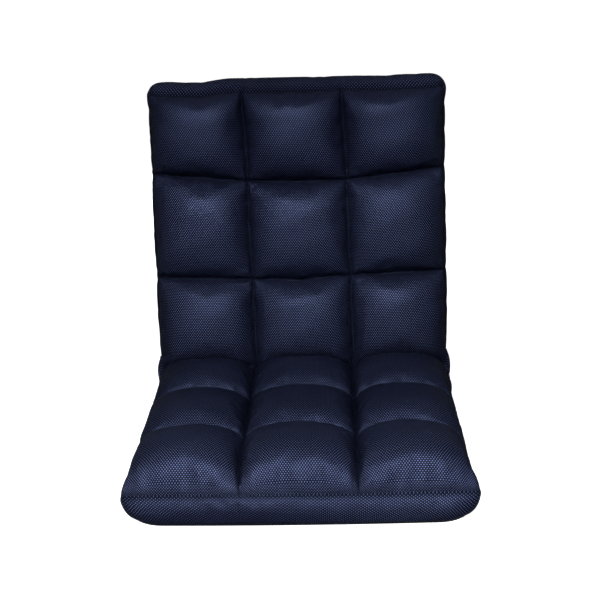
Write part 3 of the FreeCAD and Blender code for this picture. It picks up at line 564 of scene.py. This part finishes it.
# Materials.
class Shader:
    """Small helper that builds one procedural material."""

    def __init__(self, name):
        self.material = bpy.data.materials.new(name)
        self.material.use_nodes = True
        self.tree = self.material.node_tree
        self.surface = self.tree.nodes["Principled BSDF"]

    def node(self, kind, inputs=None, **settings):
        item = self.tree.nodes.new(kind)
        for key, value in settings.items():
            setattr(item, key, value)
        for key, value in (inputs or {}).items():
            if isinstance(value, bpy.types.NodeSocket):
                self.tree.links.new(value, item.inputs[key])
            else:
                item.inputs[key].default_value = value
        return item

    def math(self, operation, first, second=0.0, third=0.0):
        inputs = {0: first, 1: second, 2: third}
        return self.node("ShaderNodeMath", inputs, operation=operation).outputs[0]

    def mix(self, share, first, second):
        item = self.node("ShaderNodeMix", {0: share, 6: first, 7: second}, data_type="RGBA")
        return item.outputs[2]

    def step(self, value, low, high, start=0.0, end=1.0):
        item = self.node("ShaderNodeMapRange", {0: value, 1: low, 2: high, 3: start, 4: end},
                         interpolation_type="SMOOTHSTEP")
        return item.outputs[0]

    def cloth_place(self, pitch):
        inputs = {0: self.node("ShaderNodeUVMap", uv_map="cloth").outputs[0], 3: 1 / pitch}
        return self.node("ShaderNodeVectorMath", inputs, operation="SCALE").outputs[0]

    def object_place(self):
        return self.node("ShaderNodeTexCoord").outputs["Object"]

    def wave(self, place, direction):
        run = self.node("ShaderNodeVectorMath", {0: place, 1: direction}, operation="DOT_PRODUCT")
        return self.math("COSINE", self.math("MULTIPLY", run.outputs["Value"], 2 * math.pi))

    def noise(self, place, scale, detail=2.0, roughness=0.5):
        return self.node("ShaderNodeTexNoise", {"Vector": place, "Scale": scale, "Detail": detail,
                                                "Roughness": roughness}).outputs[0]

    def bump(self, height, strength, distance, normal=None):
        inputs = {"Height": height, "Strength": strength, "Distance": distance}
        if normal:
            inputs["Normal"] = normal
        return self.node("ShaderNodeBump", inputs).outputs[0]

    def set(self, **sockets):
        for key, value in sockets.items():
            socket = self.surface.inputs[key.replace("_", " ")]
            if isinstance(value, bpy.types.NodeSocket):
                self.tree.links.new(value, socket)
            else:
                socket.default_value = value


def air_mesh(name):
    """Knitted spacer mesh: three waves at about sixty degrees. Where they add up the yarn makes a glossy knot
    whose pale colour is a painted highlight, where they cancel there is a hole filled with painted shade, and
    between lies dark yarn. A point attribute adds painted shade at the seams and in the fold."""
    colours = bpy.context.scene.chair_colours
    make = Shader(name)
    place = make.cloth_place(colours.mesh_pitch)
    wander = make.noise(place, 0.9, 2.0)
    shift = {0: make.math("MULTIPLY", wander, 0.22), 1: make.math("MULTIPLY", wander, 0.18)}
    shift = make.node("ShaderNodeCombineXYZ", shift).outputs[0]
    shifted = make.node("ShaderNodeVectorMath", {0: place, 1: shift}, operation="ADD").outputs[0]
    waves = make.math("MULTIPLY", make.wave(shifted, (0, 1.17, 0)), 0.6)
    for direction in ((0.81, 0.587, 0), (0.81, -0.587, 0)):
        waves = make.math("ADD", waves, make.wave(shifted, direction))
    knot = make.step(waves, 0.75, 2.2)
    hole = make.step(waves, 0.1, -0.8)
    patch = make.noise(make.object_place(), 9.0, 3.0)
    dark_yarn, glint_and_wear_colour = tuple(colours.mesh_yarn), tuple(colours.mesh_shine)
    worn = make.mix(make.step(patch, 0.3, 0.75, 0.0, 0.06), dark_yarn, glint_and_wear_colour)
    # Painted highlight: the knots take the pale crown colour, glints painted into the colour on top of the real
    # gloss.
    yarn = make.mix(knot, worn, glint_and_wear_colour)
    # The point attribute read here holds painted shade for the seams and the fold; it darkens the yarn and dulls
    # its gloss.
    painted_shade = make.node("ShaderNodeAttribute", attribute_name="drawn_in").outputs["Fac"]
    dark = make.math("MAXIMUM", hole, make.math("MULTIPLY", painted_shade, 0.92))
    # Painted shade: the holes, and the places the point attribute marks, take the near-black hole colour.
    colour = make.mix(dark, yarn, tuple(colours.mesh_hole))
    gloss = make.math("MULTIPLY", make.math("ADD", 0.06, make.math("MULTIPLY", knot, 0.94)),
                      make.math("SUBTRACT", 1.0, make.math("MULTIPLY", painted_shade, 0.95)))
    fibre = make.noise(place, 7.0, 2.0)
    height = make.math("ADD", knot, make.math("MULTIPLY", fibre, 0.25))
    make.set(Base_Color=colour, Roughness=make.step(patch, 0.2, 0.8, 0.40, 0.50), IOR=2.3,
             Specular_IOR_Level=gloss, Specular_Tint=(0.42, 0.53, 1.0, 1),
             Normal=make.bump(height, 0.5, 0.0006))
    return make.material


def plain_weave(name, colour, thread, sheen):
    """Plain weave: the product of two waves lifts each thread in turn, less a part of the thread waves."""
    make = Shader(name)
    place = make.cloth_place(thread)
    warp = make.wave(place, (1, 0, 0))
    weft = make.wave(place, (0, 1, 0))
    over = make.math("MULTIPLY", make.wave(place, (0.5, 0, 0)), make.wave(place, (0, 0.5, 0)))
    ridge = make.math("MULTIPLY", make.math("ADD", warp, weft), -0.25)
    height = make.math("ADD", make.math("MULTIPLY", over, 0.6), ridge)
    patch = make.noise(make.object_place(), 6.0, 4.0)
    # Painted shade and highlight: the weave is darker where the threads dip and lighter where they rise.
    dark = tuple(c * 0.55 for c in colour[:3]) + (1,)
    light = tuple(min(1, c * 1.35 + 0.002) for c in colour[:3]) + (1,)
    tone = make.mix(make.step(height, -0.7, 0.7), dark, light)
    tone = make.mix(make.step(patch, 0.35, 0.7, 0.0, 0.35), tone, tuple(colour))
    make.set(Base_Color=tone, Roughness=0.85, Specular_IOR_Level=0.25, Sheen_Weight=sheen,
             Sheen_Roughness=0.5, Normal=make.bump(height, 0.4, 0.0003))
    return make.material


def thread_finish(name):
    """Twisted sewing thread: a slanting wave along it for the twist."""
    make = Shader(name)
    place = make.node("ShaderNodeMapping", {"Vector": make.object_place(), "Scale": (900, 900, 900),
                                            "Rotation": (0.5, 0.3, 0.8)}).outputs[0]
    twist = make.wave(place, (1, 0.4, 0))
    # Painted shade in the twist's grooves: the thread is darker where the wave dips.
    tone = make.mix(make.step(twist, -1, 1), (0.003, 0.004, 0.009, 1), (0.010, 0.012, 0.028, 1))
    make.set(Base_Color=tone, Roughness=0.7, Specular_IOR_Level=0.2,
             Normal=make.bump(twist, 0.3, 0.0002))
    return make.material


def coated_steel():
    """Satin black powder coat: fine orange peel and slightly worn patches."""
    make = Shader("Coated tube")
    place = make.object_place()
    peel = make.noise(place, 900.0, 2.0)
    wear = make.noise(place, 30.0, 5.0, 0.6)
    tone = make.mix(make.step(wear, 0.55, 0.8), (0.012, 0.012, 0.013, 1), (0.035, 0.034, 0.033, 1))
    make.set(Base_Color=tone, Roughness=make.step(wear, 0.3, 0.8, 0.32, 0.5),
             Normal=make.bump(peel, 0.15, 0.0002))
    return make.material


def zinc_plate():
    """Bright zinc over rolled steel: streaks from rolling, faint blue and straw patches."""
    make = Shader("Zinc plate")
    place = make.object_place()
    stretched = make.node("ShaderNodeMapping", {"Vector": place, "Scale": (60, 900, 60)}).outputs[0]
    streak = make.noise(stretched, 1.0, 3.0)
    cast = make.noise(place, 45.0, 3.0)
    tone = make.mix(make.step(cast, 0.35, 0.7), (0.60, 0.61, 0.62, 1), (0.66, 0.62, 0.50, 1))
    make.set(Base_Color=tone, Metallic=1.0, Roughness=make.step(streak, 0.2, 0.8, 0.24, 0.42),
             Normal=make.bump(streak, 0.12, 0.0002))
    return make.material


def bright_steel():
    """Turned steel of pins, rivets and springs: fine rings about the hinge's direction."""
    make = Shader("Bright rivet")
    place = make.object_place()
    stretched = make.node("ShaderNodeMapping", {"Vector": place, "Scale": (1800, 200, 200)}).outputs[0]
    ring = make.noise(stretched, 1.0, 2.0)
    smudge = make.noise(place, 70.0, 4.0)
    tone = make.mix(make.step(smudge, 0.4, 0.75), (0.68, 0.68, 0.67, 1), (0.50, 0.49, 0.47, 1))
    make.set(Base_Color=tone, Metallic=1.0, Roughness=make.step(smudge, 0.3, 0.8, 0.18, 0.36),
             Normal=make.bump(ring, 0.1, 0.0001))
    return make.material


def foam_finish():
    """Open-cell foam: small round cells with painted shade inside them, and a slightly yellowed patchiness."""
    make = Shader("Open-cell foam")
    place = make.object_place()
    cells = make.node("ShaderNodeTexVoronoi", {"Vector": place, "Scale": 700.0}).outputs[0]
    patch = make.noise(place, 12.0, 4.0)
    tone = make.mix(make.step(patch, 0.3, 0.7), (0.80, 0.77, 0.66, 1), (0.74, 0.66, 0.48, 1))
    # Painted shade inside each cell, darkest at its middle.
    tone = make.mix(make.step(cells, 0.0, 0.35, 0.45, 0.0), tone, (0.45, 0.40, 0.28, 1))
    make.set(Base_Color=tone, Roughness=0.95, Specular_IOR_Level=0.1,
             Normal=make.bump(cells, 0.5, 0.0006))
    return make.material


# Operators, one for each piece or group of like pieces.
class CHAIR_OT_quilted_cover(bpy.types.Operator):
    """Make the quilted mesh cover of the seat and the back"""

    bl_idname = "chair.quilted_cover"
    bl_label = "Quilted cover"

    def execute(self, context):
        points, quads, uv, pins, face, painted_shade = cover_mesh()
        cover = mesh_object("quilted_cover", points, quads, uv, air_mesh("Navy air mesh"))
        # The cover carries its painted shade for the seams and the fold as a point attribute.
        share = cover.data.attributes.new("drawn_in", "FLOAT", "POINT")
        share.data.foreach_set("value", painted_shade.astype(np.float32))
        on_wall = np.arange(len(points)) >= 2 * face.shape[0] * face.shape[1]
        stuff(cover, pins, pressure=4.0, most=np.where(on_wall, WALL_TRAVEL, FACE_TRAVEL)[:, None])
        subdivide(cover)
        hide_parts("seat_rear_row_puffs", "seat_middle_row_puffs", "seat_front_row_puffs",
                    "back_lower_row_puffs", "back_middle_row_puffs", "back_top_row_puffs",
                    "seat_boxing_band", "back_boxing_band", "seat_foam_slab", "back_foam_slab")
        bend_with_back(cover)
        return {"FINISHED"}


def cloth_sheet(name, first_run, last_run, material, seed):
    """Plain cloth stretched over the underside: a grid of width by run with rounded outer corners, whose
    depth carries a faint unevenness, made a thin shell."""
    sizes = bpy.context.scene.chair_sizes
    depth = sizes.cloth_level
    half = sizes.under_half_width + 0.4 * MM
    across = np.linspace(-half, half, 65)[None, :]
    run = np.linspace(first_run, last_run, 121)[:, None]
    far = max(abs(first_run), abs(last_run))
    under_seat = first_run < -0.3
    radius = FRONT_CORNER if under_seat else TOP_CORNER
    front, *_, top = seam_lines(across * sizes.half_width / sizes.under_half_width)
    end = (front - 2.6 * MM if under_seat else top + 12.4 * MM) + ARC_HALF * depth
    flat_x, flat_run = round_corner(across + 0 * run, np.abs(run) * end / far, half, end, radius)
    signed = np.sign(run) * flat_run
    uneven = 0.25 * MM * ripple(flat_x, signed, seed, 7, 0.25, 0.06)
    edge = np.minimum(1, (half - np.abs(across)) / 0.02) * np.minimum(1, (far - np.abs(run)) / 0.02)
    points = under_place(flat_x, signed, depth + uneven * np.clip(edge, 0, 1))
    uv = np.stack([flat_x, signed], axis=-1).reshape(-1, 2)
    faces = grid_faces(121, 65)[:, ::-1]
    item = mesh_object(name, points, faces, uv[faces], material)
    shell = item.modifiers.new("thickness", "SOLIDIFY")
    shell.thickness = 0.9 * MM
    shell.offset = 0
    apply_modifiers(item)
    return item, (2 * half, abs(last_run - first_run))


class CHAIR_OT_base_cloth(bpy.types.Operator):
    """Make the plain cloth under the seat"""

    bl_idname = "chair.base_cloth"
    bl_label = "Base cloth"

    def execute(self, context):
        sizes = context.scene.chair_sizes
        corner = ARC_HALF * sizes.cloth_level
        colour = tuple(context.scene.chair_colours.lining)
        sheet, flat = cloth_sheet("base_cloth", -(sizes.seat_front - 3 * MM + corner), -18 * MM,
                                  plain_weave("Black lining", colour, 0.9 * MM, 0.05), 21)
        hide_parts("seat_base_cloth")
        bend_with_back(sheet)
        return {"FINISHED"}


class CHAIR_OT_rear_cloth(bpy.types.Operator):
    """Make the plain cloth behind the back and round the hinge"""

    bl_idname = "chair.rear_cloth"
    bl_label = "Rear cloth"

    def execute(self, context):
        sizes = context.scene.chair_sizes
        corner = ARC_HALF * sizes.cloth_level
        colour = tuple(context.scene.chair_colours.backing)
        sheet, flat = cloth_sheet("rear_cloth", -17 * MM, sizes.back_top + 12 * MM + corner,
                                  plain_weave("Navy backing", colour, 0.9 * MM, 0.10), 22)
        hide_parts("back_rear_cloth", "hinge_rear_wrap")
        bend_with_back(sheet)
        return {"FINISHED"}


class CHAIR_OT_hinge_gathers(bpy.types.Operator):
    """Make the gathered cloth over the outside of each hinge"""

    bl_idname = "chair.hinge_gathers"
    bl_label = "Hinge gathers"

    def execute(self, context):
        """A fan about the hinge axis: the angle runs from the seat's side to the back's side through the
        rear, the radius from the end of the crease to the underside. Pleats are waves of the angle, deepest
        half-way out, and the shell is closed by its inner face."""
        sizes = context.scene.chair_sizes
        cloth = air_mesh("Navy air mesh, gathered")
        turns, rings = 241, 23
        share = np.linspace(0, 1, turns)[None, :]
        out = np.linspace(0, 1, rings)[:, None]
        middle = -math.pi / 2 + ARC_HALF
        angle = middle + (share * 2 - 1) * FAN_HALF_ANGLE
        chance = np.random.default_rng(31)
        for side, name in ((-1, "left"), (1, "right")):
            phase = chance.uniform(0, 2 * np.pi, 3)
            crowding = share + 0.012 * np.sin(share * 2 * np.pi * 3 + phase[0])
            pleat = (np.sin(crowding * 2 * np.pi * PLEATS + phase[1])
                     + 0.35 * np.sin(crowding * 2 * np.pi * FINE_PLEATS + phase[2]))
            fade = smooth(np.minimum(share, 1 - share) / 0.10)
            radius = FAN_START + (FAN_RADIUS - FAN_START) * out * (0.90 + 0.10 * fade)
            lift = (1.0 + 4.6 * np.sin(np.pi * out**0.8) ** 0.7 * fade) * MM
            lift = lift + 1.1 * MM * pleat * np.sin(np.pi * out) ** 0.6 * fade
            start_y, start_z = 3.5 * MM, -4 * MM
            y = HINGE_Y + start_y * (1 - out) + radius * np.cos(angle)
            z = HINGE_Z + start_z * (1 - out) + radius * np.sin(angle)
            outer_x = side * (sizes.half_width + 0.5 * MM + lift)
            inner_x = side * (sizes.half_width - 6 * MM)
            outer = np.stack(np.broadcast_arrays(outer_x, y, z), -1)
            inner = np.stack(np.broadcast_arrays(inner_x, y, z), -1)
            points = np.concatenate([outer.reshape(-1, 3), inner.reshape(-1, 3)])
            row, column = perimeter(rings, turns)
            edge = row * turns + column
            after = np.roll(edge, -1)
            size = rings * turns
            quads = np.concatenate([grid_faces(rings, turns), grid_faces(rings, turns, size)[:, ::-1],
                                    np.stack([edge, edge + size, after + size, after], -1)])
            if side > 0:
                quads = quads[:, ::-1]
            run_u, run_v = np.broadcast_arrays(share * 0.24, out * 0.05)
            uv = np.tile(np.stack([run_u, run_v], -1).reshape(-1, 2), (2, 1))
            item = mesh_object(f"hinge_gathers_{name}", points, quads, uv[quads], cloth)
            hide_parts(f"hinge_gusset_{name}")
            bend_with_back(item)
        return {"FINISHED"}


def stitch_run(path, up, length, gap, radius):
    """Small thread loops laid along a path: each is a six-sided tapered bar that dips at its two ends."""
    step = np.linalg.norm(np.diff(path, axis=0), axis=1)
    run = np.append(0, np.cumsum(step))
    count = int(run[-1] / (length + gap))
    start = (np.arange(count) + 0.5) * run[-1] / count
    share = np.linspace(-0.5, 0.5, 5)
    at = start[:, None] + share[None, :] * length
    at = np.clip(at, 0, run[-1])
    centre = np.stack([np.interp(at, run, path[:, axis]) for axis in range(3)], -1)
    rise = np.stack([np.interp(at, run, up[:, axis]) for axis in range(3)], -1)
    rise = rise / np.linalg.norm(rise, axis=-1, keepdims=True)
    forward = np.gradient(centre, axis=1)
    forward = forward / np.maximum(np.linalg.norm(forward, axis=-1, keepdims=True), 1e-12)
    aside = np.cross(forward, rise)
    aside = aside / np.maximum(np.linalg.norm(aside, axis=-1, keepdims=True), 1e-12)
    arch = np.cos(share * np.pi)[None, :, None]
    centre = centre + rise * (arch * 0.9 - 0.1) * radius
    turn = np.arange(6) * np.pi / 3
    thick = radius * (0.45 + 0.55 * np.cos(share * np.pi) ** 0.5)[None, :, None, None]
    ring = centre[:, :, None, :] + thick * (np.cos(turn)[None, None, :, None] * aside[:, :, None, :]
                                            + np.sin(turn)[None, None, :, None] * rise[:, :, None, :])
    points = ring.reshape(-1, 3)
    one = grid_faces(5, 6, wrap=True)
    quads = (one[None] + (np.arange(count) * 30)[:, None, None]).reshape(-1, 4)
    first, last = np.arange(6), 24 + np.arange(6)
    caps = np.stack([first[[0, 1, 2, 3]], first[[0, 3, 4, 5]], last[[3, 2, 1, 0]], last[[5, 4, 3, 0]]])
    caps = (caps[None] + (np.arange(count) * 30)[:, None, None]).reshape(-1, 4)
    return points, np.concatenate([quads, caps])


class CHAIR_OT_seam_stitches(bpy.types.Operator):
    """Sew the quilting seams with thread"""

    bl_idname = "chair.seam_stitches"
    bl_label = "Seam stitches"

    def execute(self, context):
        face = cover_mesh()[4]
        up = grid_normals(face)
        runs = [(face[:, line], up[:, line]) for line in (STEPS, 2 * STEPS)]
        runs += [(face[line], up[line]) for line in (STEPS, 2 * STEPS, 4 * STEPS, 5 * STEPS)]
        points, quads, start = [], [], 0
        for path, rise in runs:
            made, faces = stitch_run(path + rise * 0.15 * MM, rise, 3.4 * MM, 0.9 * MM, 0.34 * MM)
            points.append(made)
            quads.append(faces + start)
            start += len(made)
        item = mesh_object("seam_stitches", np.concatenate(points), np.concatenate(quads), None,
                           thread_finish("Navy sewing thread"))
        item.data.flip_normals()
        bend_with_back(item)
        return {"FINISHED"}


class CHAIR_OT_steel_finishes(bpy.types.Operator):
    """Give the steel parts inside the chair their finishes"""

    bl_idname = "chair.steel_finishes"
    bl_label = "Steel finishes"

    def execute(self, context):
        made = {"coated_tube": coated_steel(), "plated_plate": zinc_plate(),
                "bright_rivet": bright_steel(), "foam": foam_finish()}
        cloths = {"mesh_cloth": "Navy air mesh", "lining_cloth": "Black lining",
                  "backing_cloth": "Navy backing"}
        for part in frame["record"]["subparts"]:
            wanted = part["material_slot"]
            material = made.get(wanted) or bpy.data.materials[cloths[wanted]]
            data = frame["nodes"][part["node"]].data
            data.materials.clear()
            data.materials.append(material)
        return {"FINISHED"}


class CHAIR_OT_stage(bpy.types.Operator):
    """Make the studio floor, the soft lights and the camera"""

    bl_idname = "chair.stage"
    bl_label = "Studio stage"

    def execute(self, context):
        scene = context.scene
        settings = scene.stage_settings
        make = Shader("Pale studio floor")
        place = make.object_place()
        cloud = make.noise(place, 3.0, 3.0)
        pale = tuple(settings.floor_colour)
        shade = tuple(c * 0.985 for c in pale[:3]) + (1,)
        make.set(Base_Color=make.mix(cloud, pale, shade), Roughness=0.9, Specular_IOR_Level=0.1,
                 Emission_Color=(1, 1, 1, 1), Emission_Strength=1.0)
        # The floor lies flat for half its reach, then rises far away, so that low views see it too. Only the
        # camera sees it: its white would otherwise light the dark cloth more than in the photo.
        reach = 60.0
        line = np.linspace(-reach, reach, 49)
        x, y = np.meshgrid(line, line)
        rise = reach * smooth((np.hypot(x, y) / reach - 0.5) / 0.5) ** 2
        points = np.stack([x, y, rise - 0.4 * MM], -1)
        floor = mesh_object("studio_floor", points, grid_faces(49, 49), None, make.material)
        floor.visible_diffuse = False
        floor.visible_glossy = False
        floor.visible_shadow = False

        # A faint even light, brighter above the floor's level than below it.
        world = scene.world or bpy.data.worlds.new("Studio")
        scene.world = world
        world.use_nodes = True
        tree = world.node_tree
        background = tree.nodes["Background"]
        background.inputs[0].default_value = (1.0, 1.0, 1.0, 1)
        direction = tree.nodes.new("ShaderNodeSeparateXYZ")
        tree.links.new(tree.nodes.new("ShaderNodeTexCoord").outputs["Generated"], direction.inputs[0])
        level = tree.nodes.new("ShaderNodeMapRange")
        level.inputs[1].default_value, level.inputs[2].default_value = -0.5, 0.1
        level.inputs[3].default_value, level.inputs[4].default_value = 0.015, 0.04
        tree.links.new(direction.outputs[2], level.inputs[0])
        tree.links.new(level.outputs[0], background.inputs[1])
        for name, spot, aim, power, wide, high, spread in (
            ("key_light", (-0.12, -2.85, 2.15), (0.0, 0.1, 0.25), settings.key_power, 1.2, 0.7, 180),
            ("low_light", (0.0, -2.7, 0.5), (0.0, -0.25, -0.06), settings.low_power, 1.0, 0.1, 16),
            ("top_light", (0.0, 0.5, 2.9), (0.0, 0.05, 0.2), settings.fill_power, 2.6, 2.2, 180),
            ("rear_light", (0.0, 2.6, 0.3), (0.0, 0.35, 0.28), settings.rear_power, 0.9, 0.4, 180),
        ):
            lamp = bpy.data.lights.new(name, "AREA")
            lamp.shape = "RECTANGLE"
            lamp.size, lamp.size_y = wide, high
            lamp.energy = power
            lamp.spread = math.radians(spread)
            holder = bpy.data.objects.new(name, lamp)
            holder.location = spot
            holder.rotation_euler = (Vector(aim) - Vector(spot)).to_track_quat("-Z", "Y").to_euler()
            scene.collection.objects.link(holder)
        scene.view_settings.view_transform = "Standard"

        lens = bpy.data.cameras.new("photo_camera")
        lens.sensor_width = 36
        lens.lens = lens.sensor_width * PHOTO_FOCAL / PHOTO_WIDTH
        lens.clip_end = 200
        yaw, pitch, roll = (math.radians(angle) for angle in CAMERA_TURNS)
        level = math.cos(pitch)
        look = Vector((math.sin(yaw) * level, math.cos(yaw) * level, -math.sin(pitch)))
        aside = Vector((math.cos(yaw), -math.sin(yaw), 0))
        above = aside.cross(look)
        right = aside * math.cos(roll) + above * math.sin(roll)
        over = above * math.cos(roll) - aside * math.sin(roll)
        camera = bpy.data.objects.new("photo_camera", lens)
        turn = Matrix((right, over, -look)).transposed().to_4x4()
        camera.matrix_world = Matrix.Translation(CAMERA_PLACE) @ turn
        scene.collection.objects.link(camera)
        scene.camera = camera
        return {"FINISHED"}


STEPS_IN_ORDER = (
    CHAIR_OT_quilted_cover,
    CHAIR_OT_base_cloth,
    CHAIR_OT_rear_cloth,
    CHAIR_OT_hinge_gathers,
    CHAIR_OT_seam_stitches,
    CHAIR_OT_steel_finishes,
    CHAIR_OT_stage,
)


class CHAIR_PT_panel(bpy.types.Panel):
    """Lists the sizes, the colours and the steps that make the chair"""

    bl_idname = "CHAIR_PT_panel"
    bl_label = "Floor chair"
    bl_space_type = "VIEW_3D"
    bl_region_type = "UI"
    bl_category = "Floor Chair"

    def draw(self, context):
        for group_key, _ in GROUPS:
            group = getattr(context.scene, group_key)
            box = self.layout.box()
            for key in group.bl_rna.properties.keys():
                if key not in ("rna_type", "name"):
                    box.prop(group, key)
        for step in STEPS_IN_ORDER:
            self.layout.operator(step.bl_idname)


GROUPS = (
    ("chair_sizes", ChairSizes),
    ("chair_colours", ChairColours),
    ("stage_settings", StageSettings),
)


def register():
    for key, group in GROUPS:
        bpy.utils.register_class(group)
        setattr(bpy.types.Scene, key, bpy.props.PointerProperty(type=group))
    for item in (*STEPS_IN_ORDER, CHAIR_PT_panel):
        bpy.utils.register_class(item)


def unregister():
    for item in reversed((*STEPS_IN_ORDER, CHAIR_PT_panel)):
        bpy.utils.unregister_class(item)
    for key, group in reversed(GROUPS):
        delattr(bpy.types.Scene, key)
        bpy.utils.unregister_class(group)


def main():
    register()
    for step in STEPS_IN_ORDER:
        family, name = step.bl_idname.split(".")
        getattr(getattr(bpy.ops, family), name)()


if __name__ == "__main__":
    main()
